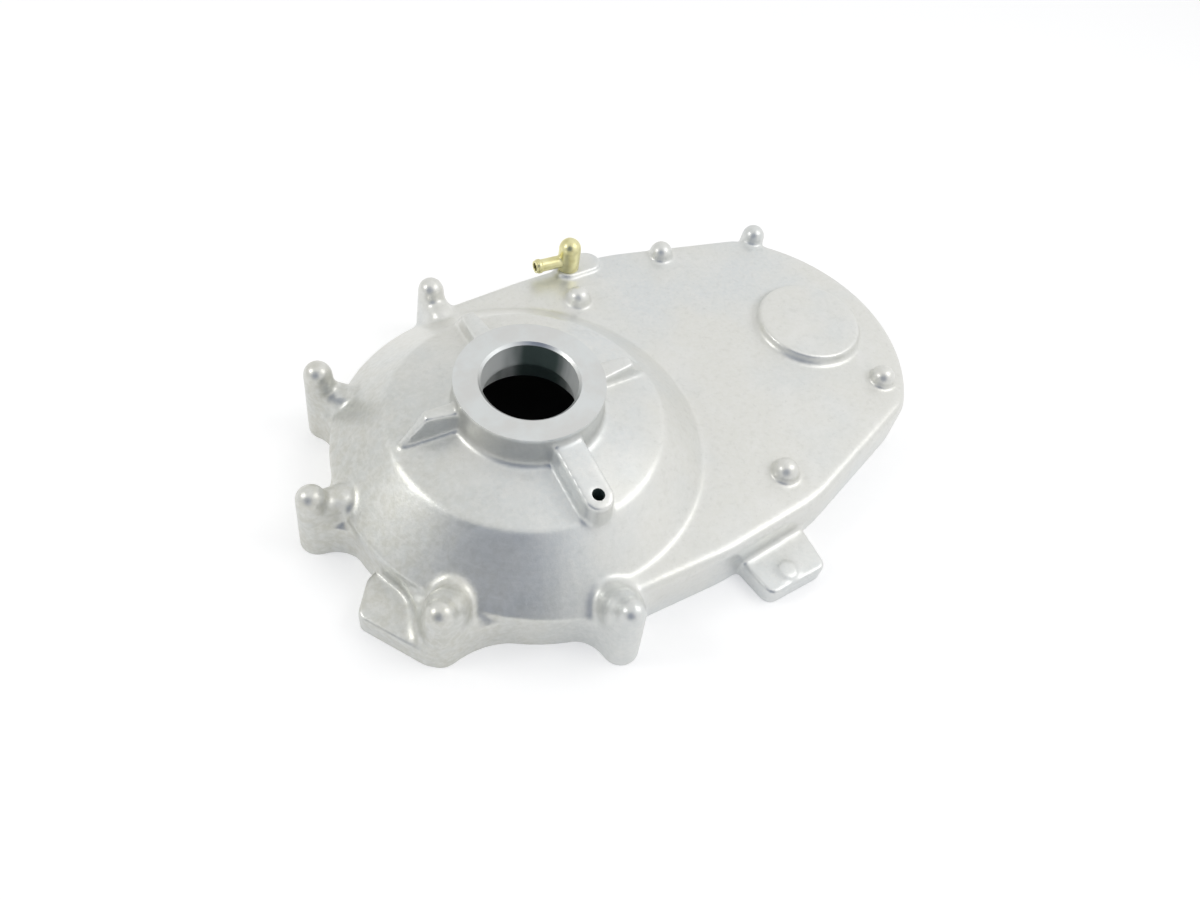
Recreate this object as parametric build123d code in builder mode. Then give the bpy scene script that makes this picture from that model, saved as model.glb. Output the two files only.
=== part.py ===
from build123d import *
import os
from math import acos, atan2, cos, hypot, radians, sin, tan

# Half of a gear case, die cast in aluminium, lying on its joint face.
# Millimetres. The origin is the axis of the axle bore on the joint face, +Z points
# out through the collar, and +X runs along the case towards the round pad.

os.makedirs("parts", exist_ok=True)

# Shared by the whole casting
wall = 5.5
deck_wall = 5.0
draft_angle = 2.0
overrun = 2.0

# Side wall: circles whose hull it follows, cut off by a blunt nose
axle_end_x = 8.0
axle_end_radius = 116.0
waist_x = 62.0
waist_swell = 2.5
flank_x = 110.0
flank_swell = 1.0
tail_x = 290.0
tail_radius = 67.7
nose_x = 160.0
nose_radius = 110.5
nose_corner_radius = 30.0
tail_skew_angle = 1.8

# Deck, the flat outer face beside the dome
deck_height = 31.8
deck_edge_radius = 6.0
skirt_start_angle = 90.0
skirt_end_angle = 266.0

# Dome with its shoulder, skirt and collar
shoulder_radius = 76.5
shoulder_height = 54.7
shoulder_fillet = 9.0
skirt_inset = 12.0
dome_top_height = 62.2
collar_radius = 40.8
collar_height = 82.2
collar_edge = 0.8
collar_foot_fillet = 4.0

# Axle bore: seal seat, lip, and the bearing seat behind it
seal_radius = 26.0
seal_depth = 12.0
seal_chamfer = 1.5
lip_radius = 22.5
lip_thickness = 4.0
bearing_radius = 31.0
bearing_depth = 16.0
bearing_hub_wall = 6.5

# Round pad, and the blind bearing seat under it
pad_x = 214.0
pad_radius = 33.6
pad_rise = 6.0
pad_draft = 1.5
pad_edge_radius = 1.2
pad_foot_fillet = 5.0
pocket_radius = 23.5
pocket_depth = 14.0
pocket_mouth_height = 13.0
pocket_hub_wall = 7.0
relief_radius = 17.0
relief_depth = 3.5

# Bolt bosses: cones with domed tops, drilled from the joint face
boss_overhang = 6.0
tall_boss_angles = (90.0, 137.5, 175.8, 221.7, 266.0)
tall_boss_reach_shares = (1.0, 0.98, 0.992, 1.0, 1.022)
boss_foot_radius = 10.5
boss_dome_radius = 8.0
tall_boss_height = 49.0
tall_boss_height_shares = (0.99, 1.1, 0.96, 0.98, 0.99)
deck_boss_rise = 10.0
deck_boss_shares = ((0.317, 0.705), (0.597, 0.832), (0.866, 0.732), (0.844, -0.498), (0.455, -0.747))
ear_height = 23.0
ear_fillets = (18.0, 18.0, 18.0, 45.0, 18.0)
ear_overlap = 0.4
web_width = 18.0
web_height = 37.5
web_length = 12.0
web_setback = 3.0
web_edge_radius = 8.0
drill_radius = 3.4
drill_depth = 22.0
drill_half_angle = 59.0

# Ribs round the collar, as shares of the collar's rise and of the shoulder radius
rib_root_width = 14.0
rib_tip_width = 5.0
rib_edge_radius = 1.2
rib_angles = (0.0, 92.0, 173.0)
rib_rise_shares = (0.25, 0.44, 0.66)
rib_flat_shares = (0.86, 0.88, 0.75)
rib_foot_shares = (1.08, 1.08, 0.98)
rib_width_shares = (1.0, 1.0, 0.7)

# Bracket lug from the collar out over the shoulder
lug_width = 17.0
lug_rise = 14.3
lug_hole_reach = 72.0
lug_hole_radius = 3.4
lug_hole_depth = 14.0
lug_edge_radius = 1.2

# Foot on the near side with its witness disc
foot_thickness = 11.0
foot_left_x = 74.5
foot_right_x = 124.0
foot_taper = 4.0
foot_reach = 143.0
foot_corner_radius = 6.5
foot_edge_radius = 1.5
disc_x = 96.5
disc_inset = 9.0
disc_radius = 5.6
disc_rise = 1.6

# Toe on the round end, its corners as shares of that end's radius
toe_thickness = 14.0
toe_corner_radius = 5.0
toe_shares = ((-0.84, -0.24), (-0.95, -0.285), (-1.062, -0.435), (-0.875, -0.745), (-0.66, -0.56))

# Vent boss on the far wall, and the brass elbow pressed into it
vent_x = 94.0
vent_y = 111.5
vent_boss_radius = 9.0
vent_boss_run = 15.0
vent_boss_rise = 3.0
vent_boss_depth = 20.0
vent_seat_radius = 4.0
vent_seat_depth = 12.0
vent_passage_radius = 2.0
press_clearance = 0.02
elbow_body_radius = 7.2
elbow_axis_rise = 6.2
elbow_crown_rise = 9.0
elbow_heading = 174.5
tube_radius = 4.1
tube_bore_radius = 2.7
tube_reach = 24.5
bead_rise = 0.6
bead_width = 2.4
bead_setback = 1.6

deck_under = deck_height - deck_wall
waist_radius = axle_end_radius + waist_swell
flank_radius = axle_end_radius + flank_swell
skirt_foot_radius = axle_end_radius - skirt_inset
bolt_circle_radius = axle_end_radius + boss_overhang
draft_slope = tan(radians(draft_angle))
ear_draft = ear_height * draft_slope
nose_reach = nose_x + nose_radius
skirt_slope = (shoulder_height - deck_height) / (skirt_foot_radius - shoulder_radius)
dome_slope = (dome_top_height - shoulder_height) / (shoulder_radius - collar_radius)
skirt_drop = wall * hypot(1, skirt_slope)
dome_drop = wall * hypot(1, dome_slope)
skirt_base_radius = skirt_foot_radius + deck_height / skirt_slope
cavity_base_radius = skirt_foot_radius + (deck_height - skirt_drop + overrun) / skirt_slope
tall_boss_places = [
    (share * bolt_circle_radius * cos(radians(angle)), share * bolt_circle_radius * sin(radians(angle)))
    for angle, share in zip(tall_boss_angles, tall_boss_reach_shares)
]
deck_boss_places = [(along * nose_reach, across * waist_radius) for along, across in deck_boss_shares]
vent_top = deck_height + vent_boss_rise
elbow_axis_height = vent_top + elbow_axis_rise
elbow_crown_height = elbow_axis_height + elbow_crown_rise


def skirt_z(radius):
    """Height of the outer skirt at a distance from the bore axis."""
    return deck_height + (skirt_foot_radius - radius) * skirt_slope


def dome_z(radius):
    """Height of the shallow top of the dome at a distance from the bore axis."""
    return shoulder_height + (shoulder_radius - radius) * dome_slope


def centre_y(x):
    """Sideways place of the outline's centre line, which turns off beyond the waist."""
    return (x - waist_x) * tan(radians(tail_skew_angle))


def case_outline(inset):
    """The side wall's outline in plan, moved in by an inset."""
    circles = [
        (axle_end_x, 0, axle_end_radius),
        (waist_x, 0, waist_radius),
        (flank_x, centre_y(flank_x), flank_radius),
        (tail_x, centre_y(tail_x), tail_radius),
    ]
    with BuildSketch() as egg:
        with BuildLine():
            for x, y, radius in circles:
                CenterArc((x, y), radius - inset, 0, 360)
        make_hull()
    with BuildSketch() as nose:
        with Locations((nose_x, centre_y(nose_x))):
            Circle(nose_radius - inset)
            Rectangle(3 * nose_radius, 3 * nose_radius, align=(Align.MAX, Align.CENTER))
    with BuildSketch() as outline:
        add(egg.sketch)
        add(nose.sketch, mode=Mode.INTERSECT)
        fillet(outline.vertices().sort_by(Axis.X)[-2:], nose_corner_radius - inset)
    return outline.sketch


def ear_outline(x, y, ear_fillet, inset):
    """Filleted ear, in plan, between a tall boss and the round end of the wall."""
    wall_arc = axle_end_radius - inset - ear_overlap
    to_fillet = wall_arc + ear_fillet
    boss_to_fillet = boss_foot_radius - inset + ear_fillet
    gap = hypot(x - axle_end_x, y)
    heading = atan2(y, x - axle_end_x)
    turn = acos((to_fillet**2 + gap**2 - boss_to_fillet**2) / (2 * to_fillet * gap))

    def at(reach, angle):
        return (axle_end_x + reach * cos(angle), reach * sin(angle))

    with BuildSketch() as ear:
        with BuildLine():
            Polyline(
                (x, y), at(to_fillet, heading + turn), at(wall_arc - wall, heading + turn),
                at(wall_arc - wall, heading - turn), at(to_fillet, heading - turn), close=True,
            )
        make_face()
        with Locations(at(to_fillet, heading + turn), at(to_fillet, heading - turn)):
            Circle(ear_fillet, mode=Mode.SUBTRACT)
    return ear.sketch


def corner_ear_outline(inset):
    """Ear, in plan, round the boss at the far corner of the nose."""
    x, y = max(deck_boss_places, key=sum)
    with BuildSketch() as ear:
        with BuildLine():
            CenterArc((x, y), boss_foot_radius + ear_overlap - inset, 0, 360)
            CenterArc((x, y - 2 * boss_foot_radius), 2 * boss_foot_radius - inset, 0, 360)
        make_hull()
    return ear.sketch


# Solid of revolution for one bolt boss, reused at each place
def boss(top):
    """A drafted boss with a domed top, standing on the joint face."""
    spring = top - boss_dome_radius
    with BuildPart() as one:
        with BuildSketch(Plane.XZ):
            with BuildLine():
                Polyline((0, top), (0, 0), (boss_foot_radius, 0), (boss_dome_radius, spring))
                CenterArc((0, spring), boss_dome_radius, 0, 90)
            make_face()
        revolve(axis=Axis.Z)
    return one.part


def web(reach):
    """A rounded web that ties a tall boss at some reach to the skirt, along +X."""
    with BuildPart() as one:
        with BuildSketch():
            with Locations((reach - web_setback - web_length / 2, 0)):
                SlotCenterToCenter(web_length, web_width)
        extrude(amount=web_height)
        fillet(one.faces().sort_by(Axis.Z)[-1].edges(), web_edge_radius)
    return one.part


def rib(rise_share, flat_share, foot_share, width_share):
    """A rib that tapers from the collar down to the shoulder, along +X."""
    top = dome_top_height + rise_share * (collar_height - dome_top_height)
    flat_reach = flat_share * shoulder_radius
    foot_reach_out = foot_share * shoulder_radius
    inner = collar_radius - overrun
    foot_height = min(skirt_z(foot_reach_out), dome_z(foot_reach_out)) - overrun
    root_half = width_share * rib_root_width / 2
    tip_half = width_share * rib_tip_width / 2
    with BuildPart() as one:
        with BuildSketch(Plane.XZ):
            with BuildLine():
                Polyline(
                    (inner, deck_height), (inner, top), (flat_reach, top),
                    (foot_reach_out, foot_height), (foot_reach_out, deck_height), close=True,
                )
            make_face()
        extrude(amount=rib_root_width, both=True)
        with BuildSketch():
            with BuildLine():
                Polyline(
                    (inner, -root_half), (foot_reach_out, -tip_half),
                    (foot_reach_out, tip_half), (inner, root_half), close=True,
                )
            make_face()
        extrude(amount=collar_height, mode=Mode.INTERSECT)
        crest = one.faces().sort_by(Axis.Z)[-1]
        rails = crest.edges().filter_by(lambda e: abs(e.tangent_at(0).X) > abs(e.tangent_at(0).Y))
        fillet(rails, rib_edge_radius)
    return one.part


def case_prism(inset, base):
    """Drafted prism on the outline, moved in by an inset, up to the collar's height."""
    with BuildPart() as prism:
        with BuildSketch(Plane.XY.offset(base)):
            add(case_outline(inset + base * draft_slope))
        with BuildSketch(Plane.XY.offset(collar_height + overrun)):
            add(case_outline(inset + (collar_height + overrun) * draft_slope))
        loft(ruled=True)
    return prism.part


def deck_block(top, base):
    """Everything under the deck, which gives way to the skirt round the end."""
    with BuildPart() as block:
        with BuildSketch(Plane.XZ.rotated((0, 0, skirt_end_angle))):
            with Locations((0, base)):
                Rectangle(2 * nose_reach, top - base, align=(Align.MIN, Align.MIN))
        revolve(axis=Axis.Z, revolution_arc=360 + skirt_start_angle - skirt_end_angle)
    return block.part


def drill(radius, depth):
    """A drilled hole upwards from the joint face, with its conical end."""
    with BuildPart() as one:
        with BuildSketch(Plane.XZ):
            with BuildLine():
                Polyline(
                    (0, -overrun), (radius, -overrun), (radius, depth),
                    (0, depth + radius / tan(radians(drill_half_angle))), close=True,
                )
            make_face()
        revolve(axis=Axis.Z)
    return one.part


# Hollow of the case, open at the joint face
with BuildPart() as cavity:
    inner_shoulder = (skirt_z(0) - skirt_drop - dome_z(0) + dome_drop) / (skirt_slope - dome_slope)
    with BuildSketch(Plane.XZ):
        with BuildLine():
            Polyline(
                (0, -overrun), (cavity_base_radius, -overrun),
                (inner_shoulder, dome_z(inner_shoulder) - dome_drop),
                (0, dome_z(0) - dome_drop), close=True,
            )
        make_face()
    revolve(axis=Axis.Z)
    add(deck_block(deck_under, -overrun))
    add(case_prism(wall, -overrun), mode=Mode.INTERSECT)
    bearing_mouth = collar_height - seal_depth - lip_thickness - bearing_depth
    with Locations((0, 0, bearing_mouth)):
        Cylinder(
            bearing_radius + bearing_hub_wall, collar_height,
            align=(Align.CENTER, Align.CENTER, Align.MIN), mode=Mode.SUBTRACT,
        )
    with Locations((pad_x, 0, pocket_mouth_height)):
        Cylinder(
            pocket_radius + pocket_hub_wall, deck_height,
            align=(Align.CENTER, Align.CENTER, Align.MIN), mode=Mode.SUBTRACT,
        )
    with BuildSketch(Plane.XY.offset(vent_top - vent_boss_depth)):
        with Locations((vent_x + vent_boss_run / 2, vent_y)):
            SlotCenterToCenter(vent_boss_run, 2 * vent_boss_radius)
    extrude(amount=vent_boss_depth, mode=Mode.SUBTRACT)
    with Locations(*deck_boss_places, *tall_boss_places):
        add(boss(deck_height + deck_boss_rise), mode=Mode.SUBTRACT)

# Round pad over the input bearing
with BuildPart() as pad:
    with BuildSketch(Plane.XZ) as pad_profile:
        with BuildLine():
            Polyline(
                (0, deck_under), (pad_radius + pad_draft + pad_foot_fillet, deck_under),
                (pad_radius + pad_draft + pad_foot_fillet, deck_height),
                (pad_radius + pad_draft, deck_height), (pad_radius, deck_height + pad_rise),
                (0, deck_height + pad_rise), close=True,
            )
        make_face()
        corners = pad_profile.vertices()
        fillet(corners.sort_by_distance((pad_radius, deck_height + pad_rise))[0], pad_edge_radius)
        corners = pad_profile.vertices()
        fillet(corners.sort_by_distance((pad_radius + pad_draft, deck_height))[0], pad_foot_fillet - pad_draft / 2)
    revolve(axis=Axis.Z)

# Bracket lug, its top parallel to the dome
with BuildPart() as lug:
    with BuildSketch(Plane.XY.offset(deck_height)):
        with Locations((0, -collar_radius + overrun)):
            Rectangle(lug_width, lug_hole_reach - collar_radius + overrun, align=(Align.CENTER, Align.MAX))
        with Locations((0, -lug_hole_reach)):
            Circle(lug_width / 2)
    extrude(amount=dome_top_height + lug_rise + overrun - deck_height)
    top_plane = Plane(
        origin=(0, -collar_radius, dome_top_height + lug_rise),
        x_dir=(1, 0, 0),
        z_dir=(0, -dome_slope, 1),
    )
    split(bisect_by=top_plane, keep=Keep.BOTTOM)
    fillet(lug.faces().sort_by(Axis.Z)[-1].edges(), lug_edge_radius)

# Foot on the near side
with BuildPart() as foot:
    foot_root = -axle_end_radius + 2 * wall
    with BuildSketch() as foot_plan:
        with BuildLine():
            Polyline(
                (foot_left_x, foot_root), (foot_left_x + foot_taper, -foot_reach),
                (foot_right_x - foot_taper, -foot_reach), (foot_right_x, foot_root), close=True,
            )
        make_face()
        fillet(foot_plan.vertices().sort_by(Axis.Y)[:2], foot_corner_radius)
    extrude(amount=foot_thickness)
    fillet(foot.faces().sort_by(Axis.Z)[-1].edges(), foot_edge_radius)
    with BuildSketch(Plane.XY.offset(foot_thickness)):
        with Locations((disc_x, -foot_reach + disc_inset)):
            Circle(disc_radius)
    extrude(amount=disc_rise)

# Toe on the round end
with BuildPart() as toe:
    with BuildSketch() as toe_plan:
        with BuildLine():
            Polyline(*[(u * axle_end_radius, v * axle_end_radius) for u, v in toe_shares], close=True)
        make_face()
        fillet(toe_plan.vertices().sort_by(Axis.X)[:2], toe_corner_radius)
    extrude(amount=toe_thickness)
    fillet(toe.faces().sort_by(Axis.Z)[-1].edges(), foot_edge_radius)

# Bores of the axle, cut from above
with BuildPart() as axle_bore:
    lip_top = collar_height - seal_depth
    seat_top = lip_top - lip_thickness
    with BuildSketch(Plane.XZ):
        with BuildLine():
            Polyline(
                (0, collar_height + overrun), (seal_radius + seal_chamfer + overrun, collar_height + overrun),
                (seal_radius, collar_height - seal_chamfer), (seal_radius, lip_top),
                (lip_radius, lip_top), (lip_radius, seat_top), (bearing_radius, seat_top),
                (bearing_radius, 0), (0, 0), close=True,
            )
        make_face()
    revolve(axis=Axis.Z)

# Blind bearing seat under the pad
with BuildPart() as pocket:
    with BuildSketch(Plane.XZ):
        with BuildLine():
            Polyline(
                (0, 0), (pocket_radius, 0), (pocket_radius, pocket_mouth_height + pocket_depth),
                (relief_radius, pocket_mouth_height + pocket_depth),
                (relief_radius, pocket_mouth_height + pocket_depth + relief_depth),
                (0, pocket_mouth_height + pocket_depth + relief_depth), close=True,
            )
        make_face()
    revolve(axis=Axis.Z)

# The casting
with BuildPart() as housing:
    # Dome and collar, with the skirt running out past the wall
    with BuildSketch(Plane.XZ) as dome_profile:
        with BuildLine():
            Polyline(
                (0, 0), (skirt_base_radius, 0), (shoulder_radius, shoulder_height), (collar_radius, dome_top_height),
                (collar_radius, collar_height), (0, collar_height), close=True,
            )
        make_face()
        corners = dome_profile.vertices()
        fillet(corners.sort_by_distance((shoulder_radius, shoulder_height))[0], shoulder_fillet)
        corners = dome_profile.vertices()
        fillet(corners.sort_by_distance((collar_radius, dome_top_height))[0], collar_foot_fillet)
        corners = dome_profile.vertices()
        chamfer(corners.sort_by_distance((collar_radius, collar_height))[0], collar_edge)
    revolve(axis=Axis.Z)

    # Deck and side wall
    add(deck_block(deck_height, 0))
    add(case_prism(0, 0), mode=Mode.INTERSECT)
    deck = housing.faces().filter_by(Plane.XY).sort_by_distance((waist_x, waist_radius, deck_height))[0]
    wall_edges = deck.outer_wire().edges().filter_by(GeomType.BSPLINE)
    fillet(wall_edges, deck_edge_radius)

    # Ears on the rim
    for (x, y), ear_fillet in zip(tall_boss_places, ear_fillets):
        with BuildSketch():
            add(ear_outline(x, y, ear_fillet, 0))
        with BuildSketch(Plane.XY.offset(ear_height)):
            add(ear_outline(x, y, ear_fillet, ear_draft))
        loft(ruled=True)
    with BuildSketch():
        add(corner_ear_outline(0))
    with BuildSketch(Plane.XY.offset(ear_height)):
        add(corner_ear_outline(ear_draft))
    loft(ruled=True)

    # Bosses and the webs behind the tall ones
    for place, share in zip(tall_boss_places, tall_boss_height_shares):
        with Locations(place):
            add(boss(share * tall_boss_height))
    with Locations(*deck_boss_places):
        add(boss(deck_height + deck_boss_rise))
    for angle, share in zip(tall_boss_angles, tall_boss_reach_shares):
        add(web(share * bolt_circle_radius).rotate(Axis.Z, angle))

    # Ribs and lug round the collar
    rib_shares = zip(rib_rise_shares, rib_flat_shares, rib_foot_shares, rib_width_shares)
    for angle, shares in zip(rib_angles, rib_shares):
        add(rib(*shares).rotate(Axis.Z, angle))
    add(lug.part)

    # Pad, feet and vent boss
    with Locations((pad_x, 0)):
        add(pad.part)
    add(foot.part)
    add(toe.part)
    with BuildSketch():
        with Locations((vent_x + vent_boss_run / 2, vent_y)):
            SlotCenterToCenter(vent_boss_run, 2 * vent_boss_radius)
    extrude(amount=vent_top)

    # Hollow, bores and holes
    add(cavity.part, mode=Mode.SUBTRACT)
    add(axle_bore.part, mode=Mode.SUBTRACT)
    with Locations((pad_x, 0)):
        add(pocket.part, mode=Mode.SUBTRACT)
    with Locations(*tall_boss_places, *deck_boss_places):
        add(drill(drill_radius, drill_depth), mode=Mode.SUBTRACT)
    with Locations((0, -lug_hole_reach, dome_z(lug_hole_reach) + lug_rise - lug_hole_depth)):
        Cylinder(
            lug_hole_radius, lug_hole_depth + wall,
            align=(Align.CENTER, Align.CENTER, Align.MIN), mode=Mode.SUBTRACT,
        )
    with Locations((vent_x, vent_y, vent_top - vent_seat_depth)):
        Cylinder(
            vent_seat_radius, vent_seat_depth + overrun,
            align=(Align.CENTER, Align.CENTER, Align.MIN), mode=Mode.SUBTRACT,
        )
    with Locations((vent_x, vent_y)):
        Cylinder(
            vent_passage_radius, vent_top,
            align=(Align.CENTER, Align.CENTER, Align.MIN), mode=Mode.SUBTRACT,
        )

# Brass elbow with its hose tube
with BuildPart() as vent_elbow:
    stem_radius = vent_seat_radius - press_clearance
    with BuildSketch(Plane.XZ):
        with BuildLine():
            Polyline(
                (0, elbow_crown_height + elbow_body_radius),
                (0, vent_top - vent_seat_depth + overrun), (stem_radius, vent_top - vent_seat_depth + overrun),
                (stem_radius, vent_top), (elbow_body_radius, vent_top), (elbow_body_radius, elbow_crown_height),
            )
            CenterArc((0, elbow_crown_height), elbow_body_radius, 0, 90)
        make_face()
    revolve(axis=Axis.Z)
    heading = radians(elbow_heading)
    end_plane = Plane(
        origin=(0, 0, elbow_axis_height), x_dir=(-sin(heading), cos(heading), 0),
        z_dir=(cos(heading), sin(heading), 0),
    )
    with BuildSketch(end_plane):
        Circle(tube_radius)
    extrude(amount=tube_reach)
    with BuildSketch(end_plane.offset(tube_reach - bead_setback - bead_width)):
        Circle(tube_radius + bead_rise)
    extrude(amount=bead_width)
    with BuildSketch(end_plane):
        Circle(tube_bore_radius)
    extrude(amount=tube_reach, mode=Mode.SUBTRACT)
    with BuildSketch(Plane.XY):
        Circle(vent_passage_radius)
    extrude(amount=elbow_axis_height, mode=Mode.SUBTRACT)
vent_elbow.part = vent_elbow.part.moved(Location((vent_x, vent_y, 0)))

housing.part.label = "housing"
export_step(housing.part, "parts/housing.step")
vent_elbow.part.label = "vent_elbow"
export_step(vent_elbow.part, "parts/vent_elbow.step")
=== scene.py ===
"""Studio scene of a die cast gear case half with its brass vent elbow."""
import math

import bmesh
import bpy
import numpy as np
from mathutils import Matrix, Vector


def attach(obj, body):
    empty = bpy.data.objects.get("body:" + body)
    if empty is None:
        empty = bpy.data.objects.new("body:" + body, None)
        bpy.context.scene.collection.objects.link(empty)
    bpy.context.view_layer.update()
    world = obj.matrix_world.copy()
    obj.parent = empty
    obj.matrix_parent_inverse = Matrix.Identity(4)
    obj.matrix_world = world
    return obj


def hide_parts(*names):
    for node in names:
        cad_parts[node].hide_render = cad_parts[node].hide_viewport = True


bl_info = {
    "name": "Die cast housing",
    "version": (1, 0, 0),
    "blender": (4, 5, 0),
    "location": "View3D > Sidebar > Housing",
    "description": "Dresses the solids of a die cast gear case half and stages them in a studio",
    "category": "Object",
}

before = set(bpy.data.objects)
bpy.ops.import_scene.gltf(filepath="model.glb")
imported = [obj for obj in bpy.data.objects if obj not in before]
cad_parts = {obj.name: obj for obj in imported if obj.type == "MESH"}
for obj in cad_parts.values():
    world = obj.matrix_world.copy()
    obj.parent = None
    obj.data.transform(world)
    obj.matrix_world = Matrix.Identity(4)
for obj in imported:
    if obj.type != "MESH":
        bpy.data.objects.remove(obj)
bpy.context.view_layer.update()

MM = 0.001

# Machined places, in millimetres, as the solids have them; the lip is slimmer and coned
JOINT_Z = 0.0
COLLAR_TOP = 82.2
COLLAR_RADIUS = 40.8
SEAL_RADIUS = 26.0
SEAL_CHAMFER = 1.5
LIP_RADIUS = 25.0
LIP_CONE_LOW = 68.7
LIP_CONE_HIGH = 72.2
SEAT_TOP = 66.2
BEARING_RADIUS = 31.0
BEARING_MOUTH = 50.2
PAD_X = 214.0
POCKET_RADIUS = 23.5
POCKET_MOUTH = 13.0
POCKET_TOP = 27.0
RELIEF_RADIUS = 17.0
RELIEF_TOP = 30.5
DRILL_RADIUS = 3.4
DRILL_DEPTH = 22.0
DRILL_POINT = 2.0
THREAD_ROOT = 4.0
THREAD_FOOT = 1.0
THREAD_RUN = 17.0
THREAD_RUNOUT = 0.6
MOUTH_RADIUS = 4.5
LUG_HOLE = (0.0, -72.0)
LUG_HOLE_FLOOR = 55.95
LUG_HOLE_TOP = 75.0
TALL_BOSSES = ((0.0, 122.0), (-88.1, 80.8), (-120.7, 8.9), (-91.1, -81.2), (-8.7, -124.4))
DECK_BOSSES = ((85.7, 83.5), (161.5, 98.6), (234.3, 86.7), (228.3, -59.0), (123.1, -88.5))
NEAR_BOSSES = TALL_BOSSES[3:]

# The blank: merged doubles, stock, and how far the fills stand past what they fill
WELD_DISTANCE = 0.002
SLIVER_LENGTH = 0.001
MACHINING_STOCK = 3.0
FLAT_TOLERANCE = 0.01
FILL_HEIGHT = 0.5
FILL_RADIUS = 1.0
DRILL_FILL = 0.6
LUG_FILL_TOP = 69.3

# Ball-like mounds over the roots of the two near bosses
MOUND_INSET = 6.0
MOUND_RADIUS = 11.5
MOUND_HEIGHT = 33.0
MOUND_FLOOR = 20.0

# Distances from the bosses within which their roots are filled more, full and none
WEB_REACH = (14.0, 30.0)
MOUND_REACH = (13.0, 26.0)

# Softening: how far a point in a valley and one on a ridge go to its neighbours' mean in each pass
VALLEYS = 0.5
EDGE_RIDGES = 0.5
ROOT_RIDGES = 0.06
WEB_RIDGES = 0.02
MOUND_RIDGES = 0.015
ELBOW_EDGE_RIDGES = 0.4
ELBOW_ROOT_RIDGES = 0.03

# Size of a bend that counts as a full ridge or hollow, and how often the marks are spread
CASTING_MARKS = 1.6
ELBOW_MARKS = 0.8
MARK_PASSES = 3

# The cutters' ends that lie outside the casting or in its hollow
JOINT_CUT_LOW = (-160, -180, -10)
JOINT_CUT_HIGH = (320, 180, JOINT_Z)
COLLAR_CUT_LOW = (-60, -60, COLLAR_TOP)
COLLAR_CUT_HIGH = (60, 60, 95)
BORE_CUT_LOW = 40
BORE_CUT_HIGH = 92
POCKET_CUT_LOW = 5
DRILL_CUT_LOW = -8

# What counts as machined: how level a face is, how near a wall or an end, and which edges stay sharp
LEVEL_NORMAL = 0.999
NEAR_FACE = 0.02
NEAR_WALL = 0.05
NEAR_END = 0.1
NEAR_MOUTH = 0.5
SHARP_ANGLE = math.radians(22)

# Rings of the cast skin round the bore axis, as radii where each fades in and out; the skirt and collar crease rings
# carry painted highlights
SKIRT_CREASE = (100.5, 102.5, 106.5, 109.0)
COLLAR_CREASE = (41.5, 43.5, 46.5, 49.0)
SKIRT_STREAKS = (70.0, 85.0, 103.0, 108.0)

# Below this roughness the preview's denoiser takes a surface for a mirror and leaves dark dots
LEAST_ROUGHNESS = 0.285

# Heading of the far wall of the bore, where the painted reflection is darkest
DARK_REFLECTION_HEADING = 0.85

# The studio, in metres; the point that the camera looks at is in millimetres
CAMERA_TARGET = (30.417, -31.377, 40.0)
BRIGHT_SIDE = (0.770, -0.280, 0.574)
DARK_SIDE = (-0.527, -0.586, 0.616)
FLOOR_HALF = 6.0
FLOOR_DROP = 2e-5
# Radii in metres within which a dark shadow is painted on the floor under the case, and its colour
FLOOR_SHADOW_RADII = (0.088, 0.094)
FLOOR_SHADOW_COLOUR = (0.02, 0.02, 0.02, 1.0)
WHITE = (1.0, 1.0, 1.0, 1.0)
ROOM_COLOUR = (0.80, 0.80, 0.79, 1.0)
DARK_SIDE_COLOUR = (0.06, 0.10, 0.20, 1.0)
ROOM_LEVEL = 0.87
BACKGROUND_MORE = 0.13
SOFTBOXES = (
    ("right_softbox", (0.64, -0.34, 0.82), (0.06, 0.0, 0.04), (0.55, 0.55), 1.6, (1.0, 0.99, 0.97)),
    ("left_softbox", (-0.68, 0.30, 0.66), (0.0, 0.0, 0.05), (0.28, 0.28), 1.35, (1.0, 0.99, 0.96)),
)


# ---- mesh helpers

def link(mesh, name):
    """A new object at the origin that shows a mesh."""
    piece = bpy.data.objects.new(name, mesh)
    bpy.context.scene.collection.objects.link(piece)
    return piece


def evaluated_mesh(piece):
    """The piece's mesh with its modifiers taken in."""
    graph = bpy.context.evaluated_depsgraph_get()
    return bpy.data.meshes.new_from_object(piece.evaluated_get(graph))


def bake_modifiers(piece):
    """Puts the modifiers into the mesh and takes them off."""
    mesh = evaluated_mesh(piece)
    piece.modifiers.clear()
    old = piece.data
    piece.data = mesh
    bpy.data.meshes.remove(old)


def welded_copy(node, name):
    """A copy of a node's mesh with its doubled corners merged."""
    work = bmesh.new()
    work.from_mesh(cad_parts[node].data)
    bmesh.ops.remove_doubles(work, verts=work.verts, dist=WELD_DISTANCE * MM)
    bmesh.ops.dissolve_degenerate(work, dist=SLIVER_LENGTH * MM, edges=work.edges)
    mesh = bpy.data.meshes.new(name)
    work.to_mesh(mesh)
    work.free()
    mesh.materials.clear()
    return link(mesh, name)


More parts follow.
